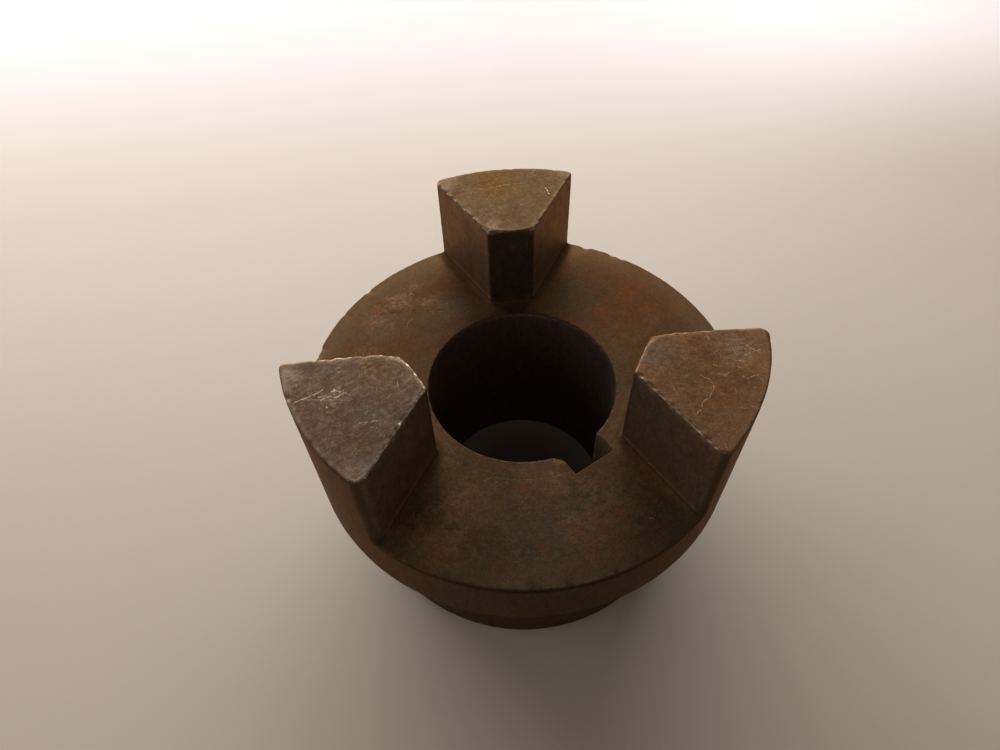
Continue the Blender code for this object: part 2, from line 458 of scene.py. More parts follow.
def add_jaw_tip(skin, jaw, slot):
    centre = JAW_ANGLES[jaw]
    face_arc = on_rim(across_jaw(jaw))
    path, normals = jaw_path(jaw)
    outline = np.concatenate([face_arc[:-1], path[:-1]])
    extra = []
    widest = TIP_EDGE * 1.8 + 0.5
    for offset in edge_offsets(widest, 7):
        ring = np.concatenate([path - normals * offset, face_arc * (1 - offset / RIM_RADIUS)])
        extra.append(ring[np.abs(jaw_distance(ring) + offset) < 0.02])
    grid = hex_grid(RIM_RADIUS, FACE_STEP * 0.7)
    extra.append(grid[jaw_distance(grid) < -widest - 0.9])
    rows = np.concatenate(extra)
    sector = (turned_by(rows, -centre)[:, 0] > 0) & (np.abs(
        np.arctan2(*turned_by(rows, -centre).T[::-1])) < math.radians(40))
    points, faces = triangulated([outline], rows[sector],
                                 lambda centres: jaw_distance(centres) < 1e-4)
    skin.add(raised(points, tip_height(points)), faces.tolist(), slot)


JAW_ROWS = 15


def add_jaw_walls(skin, jaw):
    """A jaw's two sides and nose, from the top of the root fillet to the tip's edge."""
    path, _ = jaw_path(jaw)
    inward = np.maximum(RIM_RADIUS - length(path), 0)
    low = FACE_HEIGHT + ROOT_FILLET - rounding(inward, rim_edge_radius(path))
    high = TIP_HEIGHT - tip_edge_radius(path)
    shares = np.linspace(0, 1, JAW_ROWS)
    rows = [raised(path, low + (high - low) * share) for share in shares]
    skin.add_grid(rows, JAW_SIDE, closed=False)


RIM_JOIN = FACE_HEIGHT - 1.6


def add_rim_wall(skin):
    """The rim's outer wall, which runs on up the jaws' outer faces."""
    angles = whole_rim()
    low = RIM_UNDERSIDE + RIM_LOWER_EDGE
    rows = [raised(on_rim(angles), height) for height in np.linspace(low, RIM_JOIN, 9)]
    skin.add_grid(rows, TURNED, closed=True)

    for jaw in range(len(JAW_ANGLES)):
        gap = on_rim(gap_after(jaw))
        top = face_height(gap)
        rows = [raised(gap, RIM_JOIN + (top - RIM_JOIN) * share) for share in (0, 0.5, 0.8, 1)]
        skin.add_grid(rows, TURNED, closed=False)

        face = on_rim(across_jaw(jaw))
        root = FACE_HEIGHT + ROOT_FILLET - rim_edge_radius(face)
        high = TIP_HEIGHT - tip_edge_radius(face)
        rows = [raised(face, RIM_JOIN + (root - RIM_JOIN) * share) for share in (0, 0.5, 0.8)]
        rows += [raised(face, root + (high - root) * share)
                 for share in np.linspace(0, 1, JAW_ROWS)]
        skin.add_grid(rows, TURNED, closed=False)


def quarter(centre_radius, centre_height, radius, start, end, count=6):
    """A rounded stretch of a turned profile, as (radius, height) pairs."""
    return [tuple(point) for point in arc((centre_radius, centre_height), radius,
                                          math.radians(start), math.radians(end), count)]


BOSS_WINDOW_HALF = 7.2
HOLE_SIDES = 72


def boss_profile(window):
    """The rim's underside and the boss in profile, and the heights on the boss's wall."""
    profile = quarter(RIM_RADIUS - RIM_LOWER_EDGE, RIM_UNDERSIDE + RIM_LOWER_EDGE,
                      RIM_LOWER_EDGE, 0, -90)
    profile += [(radius, RIM_UNDERSIDE)
                for radius in np.linspace(RIM_RADIUS - 1.2, BOSS_RADIUS + BOSS_FILLET + 0.6, 4)]
    profile += quarter(BOSS_RADIUS + BOSS_FILLET, RIM_UNDERSIDE - BOSS_FILLET,
                       BOSS_FILLET, 90, 180, 8)
    wall_top = RIM_UNDERSIDE - BOSS_FILLET
    wall = [*np.linspace(wall_top, window[1], 5)[1:], *np.linspace(window[1], window[0], 15)[1:],
            *np.linspace(window[0], BOSS_EDGE, 7)[1:]]
    profile += [(BOSS_RADIUS, height) for height in wall]
    profile += quarter(BOSS_RADIUS - BOSS_EDGE, BOSS_EDGE, BOSS_EDGE, 0, -90)[1:]
    return profile, wall


def add_boss(skin):
    """The rim's underside and the boss, with a window left for the tapped hole."""
    window = (SCREW_HEIGHT - BOSS_WINDOW_HALF, SCREW_HEIGHT + BOSS_WINDOW_HALF)
    profile, wall = boss_profile(window)
    angles = whole_rim()
    turn = (angles + math.radians(90) + math.pi) % math.tau - math.pi
    in_window = np.abs(turn) < BOSS_WINDOW_HALF / BOSS_RADIUS
    circle = directions(angles)
    columns = len(angles)
    faces = []
    for row, ((_, high), (_, low)) in enumerate(zip(profile, profile[1:])):
        beside = low >= window[0] - 1e-6 and high <= window[1] + 1e-6
        for column in range(columns):
            following = (column + 1) % columns
            if beside and in_window[column] and in_window[following]:
                continue
            faces.append([row * columns + column, (row + 1) * columns + column,
                          (row + 1) * columns + following, row * columns + following])
    points = np.concatenate([raised(circle * radius, height) for radius, height in profile])
    skin.add(points, faces, TURNED)

    shown = np.sort(turn[in_window]) * BOSS_RADIUS
    heights = [height for height in wall if window[0] - 1e-6 <= height <= window[1] + 1e-6]
    add_boss_window(skin, shown, np.sort(heights))


def hole_ring(radius):
    return directions(np.linspace(0, math.tau, HOLE_SIDES + 1)[:-1]) * radius


def window_loop(across, heights):
    """The outline of a rectangular window, through the points of the grid around it."""
    low = [(x, heights[0]) for x in across[:-1]]
    right = [(across[-1], height) for height in heights[:-1]]
    top = [(x, heights[-1]) for x in across[:0:-1]]
    left = [(across[0], height) for height in heights[:0:-1]]
    return np.array(low + right + top + left)


def bent_to_boss(points):
    """Flat coordinates centred on the tapped hole, wrapped round the boss."""
    angle = points[:, 0] / BOSS_RADIUS - math.radians(90)
    return np.column_stack([BOSS_RADIUS * np.cos(angle), BOSS_RADIUS * np.sin(angle),
                            points[:, 1] + SCREW_HEIGHT])


def add_boss_window(skin, across, heights):
    """The boss's wall round the tapped hole: flat coordinates, then bent to the boss."""
    mouth = hole_ring(HOLE_MOUTH_RADIUS)
    loop = window_loop(across, heights) - np.array([0, SCREW_HEIGHT])
    extra = [hole_ring(HOLE_MOUTH_RADIUS + gap) for gap in (0.12, 0.35, 0.6)]

    def keep(centres):
        return length(centres) > HOLE_MOUTH_RADIUS - 0.02

    points, faces = triangulated([loop, mouth], np.concatenate(extra), keep)
    skin.add(bent_to_boss(points), faces.tolist(), TURNED)


def thread_share(angle, along):
    """0 at a thread's root and 1 at its crest, for a 60 degree profile with flats."""
    phase = (along / PITCH + angle / math.tau) % 1
    return np.clip(1.25 - np.abs(phase * 2 - 1) * 1.5, 0, 1)


HOLE_STEPS = 104


def add_tapped_hole(skin):
    """The threaded wall between the boss and the keyway's floor."""
    ring = hole_ring(1)
    angles = np.arctan2(ring[:, 1], ring[:, 0])
    mouth = bent_to_boss(hole_ring(HOLE_MOUTH_RADIUS))
    rows = [mouth]
    start = mouth[:, 1] + HOLE_MOUTH_BREAK
    end = -KEYWAY_FLOOR
    depth = HOLE_MAJOR_RADIUS - HOLE_MINOR_RADIUS
    for step in range(HOLE_STEPS + 1):
        y = start + (end - start) * step / HOLE_STEPS
        fade = min(1, step / 6, (HOLE_STEPS - step) / 4)
        crest = thread_share(angles, y) * fade
        narrowing = max(0, 1 - (HOLE_STEPS - step) / 5)
        radius = HOLE_MAJOR_RADIUS - depth * crest
        radius += (HOLE_END_RADIUS - radius) * narrowing
        rows.append(np.column_stack([ring[:, 0] * radius, y, ring[:, 1] * radius + SCREW_HEIGHT]))
    skin.add_grid(rows, THREAD, closed=True)


BORE_HEIGHTS = np.linspace(BORE_EDGE, FACE_HEIGHT - BORE_EDGE, 30)


def add_bore(skin):
    outline = bore_outline()
    rows = [raised(outline, height) for height in BORE_HEIGHTS]
    skin.add_grid(rows, BORE, closed=False)

    line = keyway_floor_line()[::-1, 0]
    loop = window_loop(line, BORE_HEIGHTS) - np.array([0, SCREW_HEIGHT])
    across, along = np.meshgrid(line[1:-1:2], BORE_HEIGHTS[1:-1] - SCREW_HEIGHT)
    inner = np.stack([across.ravel(), along.ravel()], -1)
    inner = inner[length(inner) > HOLE_END_RADIUS + 0.5]

    def keep(centres):
        return length(centres) > HOLE_END_RADIUS - 0.02

    points, faces = triangulated([loop, hole_ring(HOLE_END_RADIUS)], inner, keep)
    floor = np.column_stack([points[:, 0], np.full(len(points), -KEYWAY_FLOOR),
                             points[:, 1] + SCREW_HEIGHT])
    skin.add(floor, faces[:, ::-1].tolist(), BORE)


def add_back_face(skin):
    radius = BOSS_RADIUS - BOSS_EDGE
    outer = radius * directions(whole_rim())
    grid = hex_grid(radius, FACE_STEP * 1.5)
    reach = length(grid)
    grid = grid[(reach < radius - 1) & (bore_distance(grid) > 1)]
    extra = np.concatenate([bore_edge_rows(), arc((0, 0), radius - 0.5, 0, math.tau, 300)[:-1], grid])

    def keep(centres):
        in_disc = length(centres) < radius
        return in_disc & (bore_distance(centres) > -0.01)

    points, faces = triangulated([outer, bore_loop()], extra, keep)
    height = rounding(np.maximum(bore_distance(points), 0), BORE_EDGE)
    skin.add(raised(points, height), faces[:, ::-1].tolist(), BACK)


def welded(mesh):
    """The patches joined into one closed skin, with its faces pointing out."""
    skin = bmesh.new()
    skin.from_mesh(mesh)
    bmesh.ops.remove_doubles(skin, verts=skin.verts, dist=WELD)
    bmesh.ops.recalc_face_normals(skin, faces=skin.faces)
    open_edges = sum(len(edge.link_faces) != 2 for edge in skin.edges)
    print(f"{mesh.name}: {len(skin.verts)} points, {len(skin.faces)} faces, {open_edges} open edges")
    skin.to_mesh(mesh)
    skin.free()
    return mesh


# ---------------------------------------------------------------- wear

LESS_WORN = {"rim": 0.42, "upright": 0.55, "bore": 0.20, "outer_tip": 0.5}
# From a corner arc's centre to the middle of the upright edge that it makes
OUTER_UPRIGHT = np.array([0.24, 0.97])
NOSE_UPRIGHT = np.array([-0.87, 0.5])
# A distance for places that an edge doesn't reach
ELSEWHERE = 50


def upright_edges(plan, height):
    """Distances to the jaws' upright edges, which count from just above the flange."""
    above_root = np.maximum(FACE_HEIGHT + 1.5 - height, 0)
    edges = []
    for angle, corners in zip(JAW_ANGLES, OUTER_CORNERS):
        local = turned_by(plan, -angle)
        for side, corner in zip((1, -1), corners):
            folded = local * np.array([1, side])
            for upright in (outer_centre(corner) + corner * OUTER_UPRIGHT,
                            INNER_CENTRE + INNER_CORNER * NOSE_UPRIGHT):
                away = length(folded - upright)
                edges.append(np.hypot(away, above_root * 3) + LESS_WORN["upright"])
    return edges


def nearest_edge(points):
    """Distance from each 3D point to the nearest outside edge of the hub.

    The jaws' top edges are rubbed the most. Other edges count as a little further away.
    """
    plan, height = points[:, :2], points[:, 2]
    radius = length(plan)
    jaw, bore = jaw_distance(plan), bore_distance(plan)
    to_rim = RIM_RADIUS - radius
    off_jaw = np.where(jaw > 0.01, 0, ELSEWHERE)
    at_rim = LESS_WORN["outer_tip"] * np.clip(1 - to_rim / 0.8, 0, 1)
    rounded_off = 0.4 * (tip_edge_radius(plan) - TIP_EDGE)
    edges = [np.hypot(jaw, TIP_HEIGHT - height) + at_rim - rounded_off,
             np.hypot(to_rim, height - FACE_HEIGHT) + off_jaw + LESS_WORN["rim"],
             np.hypot(to_rim, height - RIM_UNDERSIDE) + LESS_WORN["rim"],
             np.hypot(BOSS_RADIUS - radius, height) + LESS_WORN["rim"],
             np.hypot(bore, FACE_HEIGHT - height) + LESS_WORN["bore"],
             np.hypot(bore, height) + LESS_WORN["bore"]]
    edges += upright_edges(plan, height)
    wall_y = -math.sqrt(BORE_RADIUS ** 2 - KEYWAY_HALF_WIDTH ** 2)
    edges.append(np.hypot(np.abs(plan[:, 0]) - KEYWAY_HALF_WIDTH, plan[:, 1] - wall_y))
    mouth = np.hypot(plan[:, 0], height - SCREW_HEIGHT) - HOLE_MOUTH_RADIUS
    on_boss = plan[:, 1] < -BOSS_RADIUS * 0.9
    edges.append(np.abs(mouth) + np.where(on_boss, 0, ELSEWHERE))
    return np.min(edges, axis=0)


def below_edge(points):
    """How far below the top of the turned outer wall each 3D point is."""
    top = np.where(jaw_distance(points[:, :2]) < 0.01, TIP_HEIGHT, FACE_HEIGHT)
    return top - points[:, 2]


def nearest_root(points):
    """Distance from each 3D point to the inside corners, where dirt and oil make the surface rougher
    and painted light brightens the colour against the shade.
    """
    plan, height = points[:, :2], points[:, 2]
    radius = length(plan)
    at_jaw = np.hypot(np.maximum(jaw_distance(plan), 0), np.maximum(height - FACE_HEIGHT, 0))
    beside_jaw = (height > FACE_HEIGHT - 0.5) & (radius < RIM_RADIUS - 0.01)
    at_boss = np.hypot(radius - BOSS_RADIUS, RIM_UNDERSIDE - height)
    return np.minimum(np.where(beside_jaw, at_jaw, ELSEWHERE), at_boss)


def on_nose(points):
    """1 on a jaw's flat inner face, 0 away from it."""
    share = np.zeros(len(points))
    for angle in JAW_ANGLES:
        local = turned_by(points[:, :2], -angle)
        near = (np.abs(local[:, 1]) < 7) & (local[:, 0] > JAW_INNER_RADIUS - 1)
        inward = np.clip((JAW_INNER_RADIUS + 0.6 - local[:, 0]) / 0.4, 0, 1)
        share = np.maximum(share, np.where(near, inward, 0))
    return share


# Knocks on the hub as found, by their height: x, y, how wide and how deep
CHIPS = {
    TIP_HEIGHT: [
        (-31.6, -9.1, 0.9, 0.55), (-33.6, -10.3, 0.6, 0.3), (-35.2, -11.3, 0.7, 0.34),
        (-37.3, -12.4, 0.5, 0.26), (-46.6, 7.4, 0.5, 0.25), (-36.0, 11.6, 0.6, 0.35),
        (-30.6, 8.4, 0.5, 0.2), (8.1, -25.4, 0.5, 0.2), (8.1, -27.9, 0.5, 0.3),
        (8.1, -28.8, 0.4, 0.25), (8.1, -30.6, 0.4, 0.2), (8.1, -33.7, 0.5, 0.25),
        (8.1, -35.2, 0.4, 0.2), (8.1, -40.0, 0.5, 0.22), (8.1, -42.4, 0.6, 0.25),
        (8.1, -43.9, 0.4, 0.2), (8.1, 30.4, 0.5, 0.22), (8.1, 34.5, 0.5, 0.25),
        (8.1, 38.7, 0.4, 0.2), (8.1, 41.4, 0.6, 0.25), (8.1, 44.2, 0.5, 0.22)],
    TIP_HEIGHT - 0.3: [(-46.8, -13.2, 0.7, 0.3)],
    FACE_HEIGHT: [
        (-4.9, -20.2, 1.0, 0.6), (39.5, 26.6, 1.0, 0.55), (43.2, 20.2, 0.8, 0.4),
        (44.2, 17.8, 0.7, 0.3), (-32.4, 34.9, 0.9, 0.3), (-14.5, 45.4, 0.8, 0.3),
        (-20.0, -43.2, 0.8, 0.25)],
}
NICKS_ON_JAWS = 26
NICKS_ON_OUTER_ARC = 5
NICKS_ON_RIM = 46


def random_nicks(chance):
    """Small knocks scattered along the jaws' top edges and the rim's two edges."""
    nicks = []
    for jaw, angle in enumerate(JAW_ANGLES):
        path, _ = jaw_path(jaw)
        for x, y in path[chance.integers(0, len(path), NICKS_ON_JAWS)]:
            nicks.append((x, y, TIP_HEIGHT, chance.uniform(0.25, 0.6), chance.uniform(0.04, 0.2)))
        for turn in chance.uniform(-0.3, 0.3, NICKS_ON_OUTER_ARC):
            x, y = on_rim(angle + turn)
            nicks.append((x, y, TIP_HEIGHT, chance.uniform(0.3, 0.6), chance.uniform(0.03, 0.12)))
    for turn in chance.uniform(0, math.tau, NICKS_ON_RIM):
        x, y = on_rim(turn)
        height = chance.choice([FACE_HEIGHT, RIM_UNDERSIDE])
        nicks.append((x, y, height, chance.uniform(0.3, 0.8), chance.uniform(0.04, 0.2)))
    return nicks


def read_vectors(elements, name):
    """A vector from each of a mesh's elements, as the rows of an array."""
    values = np.empty(len(elements) * 3)
    elements.foreach_get(name, values)
    return values.reshape(-1, 3)


def store(mesh, name, values):
    """Keeps a number at each of the mesh's points, for its materials to read."""
    layer = mesh.attributes.new(name, "FLOAT", "POINT")
    layer.data.foreach_set("value", values.astype(np.float32))


def knock_about(mesh):
    """Presses the chips and nicks into the skin, and makes its faces a little uneven."""
    points = read_vectors(mesh.vertices, "co")
    normals = read_vectors(mesh.vertex_normals, "vector")
    depth = 0.02 * (1 + noise_at(points, size=9, seed=5))
    depth += 0.006 * (1 + noise_at(points, size=1.7, seed=6))
    edge, root = nearest_edge(points), nearest_root(points)
    chips = [(x, y, height, size, deep)
             for height, marks in CHIPS.items() for x, y, size, deep in marks]
    for x, y, z, size, deep in chips + random_nicks(np.random.default_rng(7)):
        offset = points - np.array([x, y, z])
        struck = np.exp(-(length(offset) / size) ** 2)
        depth += deep * struck
        edge -= 1.2 * deep * struck
    store(mesh, "edge_distance", edge)
    store(mesh, "root_distance", root)
    store(mesh, "height_share", np.clip((points[:, 2] - FACE_HEIGHT) / ROOT_FILLET, 0, 1))
    store(mesh, "below_edge", below_edge(points))
    store(mesh, "on_nose", on_nose(points))
    mesh.vertices.foreach_set("co", (points - normals * depth[:, None]).ravel())
    mesh.update()


def placed(name, data):
    """A new object in the scene."""
    piece = bpy.data.objects.new(name, data)
    bpy.context.scene.collection.objects.link(piece)
    return piece


def into_scene(mesh):
    """The mesh as an object of the same name, in metres."""
    mesh.transform(Matrix.Scale(MM, 4))
    mesh.shade_smooth()
    return placed(mesh.name, mesh)


def build_hub():
    skin = Skin()
    add_flange_face(skin)
    for jaw, slot in enumerate((TIP_RIGHT, TIP_BACK, TIP_LEFT)):
        add_jaw_tip(skin, jaw, slot)
        add_jaw_walls(skin, jaw)
    add_rim_wall(skin)
    add_boss(skin)
    add_tapped_hole(skin)
    add_bore(skin)
    add_back_face(skin)
    mesh = welded(skin.mesh("worn_hub"))
    knock_about(mesh)
    return into_scene(mesh)


# ---------------------------------------------------------------- set screw

THREAD_DEPTH = 0.8
CUP_RADIUS = 2.6
CUP_DEPTH = 1.2
SCREW_FACE_RADIUS = SCREW_RADIUS - 0.9
SOCKET_MOUTH_RADIUS = 2.8


def screw_ring(radius, from_socket_end, angles):
    """A ring of the set screw, at a distance in from its socket end."""
    radius = np.broadcast_to(radius, angles.shape)
    y = np.full(len(angles), SCREW_CUP_Y - SCREW_LENGTH + from_socket_end)
    return np.column_stack([radius * np.cos(angles), y, radius * np.sin(angles) + SCREW_HEIGHT])


def screw_edge_distance(points):
    """Distance from each point to the edges of the screw's ends and its thread's crests."""
    axial = np.hypot(points[:, 0], points[:, 2] - SCREW_HEIGHT)
    from_end = points[:, 1] - (SCREW_CUP_Y - SCREW_LENGTH)
    from_end = np.minimum(from_end, SCREW_LENGTH - from_end)
    at_rims = [np.hypot(axial - rim, from_end) for rim in (SCREW_FACE_RADIUS, SOCKET_MOUTH_RADIUS)]
    return np.minimum(np.minimum(*at_rims), (SCREW_RADIUS - axial) * 2 + 0.2)


def screw_rows(angles):
    """The screw's rings, from the socket's floor out round its length to the cup's."""
    hexagon = SOCKET_HALF_FLATS / np.cos((angles + math.pi / 6) % (math.pi / 3) - math.pi / 6)
    rows = [screw_ring(0.05, SOCKET_DEPTH + 1.1, angles),
            screw_ring(hexagon * 0.98, SOCKET_DEPTH, angles)]
    rows += [screw_ring(hexagon, depth, angles) for depth in np.linspace(SOCKET_DEPTH, 0.35, 8)]
    rows += [screw_ring(np.maximum(hexagon, SOCKET_MOUTH_RADIUS), 0.04, angles),
             screw_ring(SOCKET_MOUTH_RADIUS + 0.06, 0, angles),
             screw_ring(SCREW_FACE_RADIUS - 0.1, 0, angles),
             screw_ring(SCREW_FACE_RADIUS, 0.03, angles)]
    for along in np.arange(0.15, SCREW_LENGTH - 0.1, PITCH / 12):
        crest = thread_share(angles, along)
        thread = SCREW_RADIUS - THREAD_DEPTH * (1 - crest)
        end_cone = SCREW_FACE_RADIUS + min(along, SCREW_LENGTH - along)
        rows.append(screw_ring(np.minimum(thread, end_cone), along, angles))
    rows += [screw_ring(SCREW_FACE_RADIUS, SCREW_LENGTH - 0.03, angles),
             screw_ring(CUP_RADIUS + 0.9, SCREW_LENGTH - 0.02, angles),
             screw_ring(CUP_RADIUS + 0.12, SCREW_LENGTH, angles),
             screw_ring(CUP_RADIUS, SCREW_LENGTH - 0.03, angles),
             screw_ring(CUP_RADIUS * 0.5, SCREW_LENGTH - CUP_DEPTH * 0.55, angles),
             screw_ring(0.05, SCREW_LENGTH - CUP_DEPTH, angles)]
    return rows


def build_screw():
    """A socket set screw with a cup point: hexagonal socket, real thread, broken ends."""
    angles = np.linspace(0, math.tau, HOLE_SIDES + 1)[:-1]
    rows = screw_rows(angles)
    skin = Skin()
    skin.add_grid(rows, 0, closed=True)
    last = (len(rows) - 1) * len(angles)
    skin.faces += [list(range(len(angles))), list(range(last, last + len(angles)))]
    skin.slots += [0, 0]
    mesh = welded(skin.mesh("black_set_screw"))
    store(mesh, "edge_distance", screw_edge_distance(read_vectors(mesh.vertices, "co")))
    return into_scene(mesh)


# ---------------------------------------------------------------- material nodes

class Graph:
    """A node material under construction. Lengths in it are millimetres."""

    def __init__(self, name):
        self.material = bpy.data.materials.new(name)
        self.material.use_nodes = True
        self.tree = self.material.node_tree
        self.shader = self.tree.nodes["Principled BSDF"]
        position = self.add("ShaderNodeTexCoord").outputs["Object"]
        self.place = self.vector("SCALE", position, scale=1 / MM)

    def add(self, kind, inputs=None, **settings):
        node = self.tree.nodes.new(kind)
        for key, value in settings.items():
            setattr(node, key, value)
        for key, value in (inputs or {}).items():
            self.feed(node.inputs[key], value)
        return node

    def feed(self, socket, value):
        if isinstance(value, bpy.types.NodeSocket):
            self.tree.links.new(value, socket)
        else:
            socket.default_value = value

    def math(self, operation, *values):
        return self.add("ShaderNodeMath", dict(enumerate(values)), operation=operation).outputs[0]

    def times(self, first, second):
        return self.math("MULTIPLY", first, second)

    def times_plus(self, first, second, added):
        return self.math("MULTIPLY_ADD", first, second, added)

    def vector(self, operation, *values, scale=None):
        node = self.add("ShaderNodeVectorMath", dict(enumerate(values)), operation=operation)
        if scale is not None:
            self.feed(node.inputs["Scale"], scale)
        scalar = operation in ("LENGTH", "DISTANCE", "DOT_PRODUCT")
        return node.outputs["Value" if scalar else "Vector"]

    def ramp(self, value, low, high, top=1.0, bottom=0.0):
        """A smooth step from bottom, at low, to top, at high, and level beyond them."""
        inputs = {"Value": value, "From Min": low, "From Max": high,
                  "To Min": bottom, "To Max": top}
        node = self.add("ShaderNodeMapRange", inputs, interpolation_type="SMOOTHSTEP")
        return node.outputs["Result"]

    def mix(self, share, first, second, blend="MIX"):
        node = self.add("ShaderNodeMix", data_type="RGBA", blend_type=blend)
        self.feed(node.inputs["Factor"], share)
        for key, value in (("A", first), ("B", second)):
            colour = value if isinstance(value, bpy.types.NodeSocket) else (*value, 1.0)
            sockets = [entry for entry in node.inputs if entry.name == key and entry.type == "RGBA"]
            self.feed(sockets[0], colour)
        return [entry for entry in node.outputs if entry.type == "RGBA"][0]

    def noise(self, size, detail=3.0, rough=0.55, place=None, seed=0.0, warp=0.0):
        """Noise from 0 to 1 whose largest bumps are about this many millimetres."""
        moved = self.vector("ADD", place or self.place, (seed * 31.7, seed * 13.1, seed * 7.3))
        inputs = {"Vector": moved, "Scale": 1 / size, "Detail": detail, "Roughness": rough,
                  "Distortion": warp}
        return self.add("ShaderNodeTexNoise", inputs).outputs["Fac"]

    def stored(self, name):
        """A number that was kept at each of the mesh's points."""
        return self.add("ShaderNodeAttribute", attribute_name=name).outputs["Fac"]

    def flat(self):
        """The place in plan, without its height."""
        return self.vector("MULTIPLY", self.place, (1, 1, 0))

    def radius(self):
        """The distance from the bore's axis."""
        return self.vector("LENGTH", self.flat())

    def stretched(self, angle, along, across):
        """The place, turned by an angle in plan, then divided by two lengths."""
        turned = self.add("ShaderNodeVectorRotate",
                          {"Vector": self.place, "Angle": -math.radians(angle)},
                          rotation_type="Z_AXIS").outputs[0]
        return self.vector("DIVIDE", turned, (along, across, across))

    def wavering(self, reach):
        """The place in plan, pushed about by up to a distance so that lines aren't straight."""
        noise_node = self.add("ShaderNodeTexNoise", {"Vector": self.place, "Scale": 0.45,
                                                     "Detail": 3.0, "Roughness": 0.6})
        push = self.vector("SUBTRACT", noise_node.outputs["Color"], (0.5, 0.5, 0.5))
        moved = self.vector("ADD", self.place, self.vector("SCALE", push, scale=reach * 2))
        return self.vector("MULTIPLY", moved, (1, 1, 0))

    def near(self, spot, size, ragged):
        """1 at a spot in plan, falling to 0 at its ragged edge."""
        away = self.vector("DISTANCE", self.flat(), (*spot, 0))
        away = self.math("ADD", self.math("DIVIDE", away, size), ragged)
        return self.ramp(away, 1.25, 0.2)

    def line(self, flat, start, end, width):
        """1 on a scratch between two places in plan, 0 off it."""
        start, end = Vector((*start, 0)), Vector((*end, 0))
        way = end - start
        from_start = self.vector("SUBTRACT", flat, start)
        share = self.vector("DOT_PRODUCT", from_start, way / way.length_squared)
        share = self.math("MAXIMUM", self.math("MINIMUM", share, 1.0), 0.0)
        nearest = self.vector("SCALE", way, scale=share)
        return self.ramp(self.vector("DISTANCE", from_start, nearest), width, width * 0.3)

    def connected(self, colour, rough, metallic, height, bump_depth, bump_strength):
        """The material, with its shader fed. The bump's depth is in millimetres."""
        bump = self.add("ShaderNodeBump", {"Height": height, "Distance": bump_depth * MM,
                                           "Strength": bump_strength})
        fed = {"Base Color": colour, "Roughness": rough, "Metallic": metallic,
               "Normal": bump.outputs["Normal"]}
        for name, value in fed.items():
            self.feed(self.shader.inputs[name], value)
        return self.material


# ---------------------------------------------------------------- worn iron

OLIVE = (0.058, 0.044, 0.026)
BROWN = (0.062, 0.038, 0.021)
RUSSET = (0.070, 0.030, 0.015)
OCHRE = (0.085, 0.050, 0.016)
GREY = (0.095, 0.074, 0.058)
TAN = (0.17, 0.095, 0.062)
ORANGE = (0.15, 0.044, 0.012)
DARK = (0.013, 0.009, 0.007)
PALE = (0.22, 0.175, 0.135)
OUTER_WALL = (0.080, 0.060, 0.046)
SHEEN_TINT = (0.75, 0.45, 0.26, 1.0)
BARE = (0.52, 0.45, 0.36)
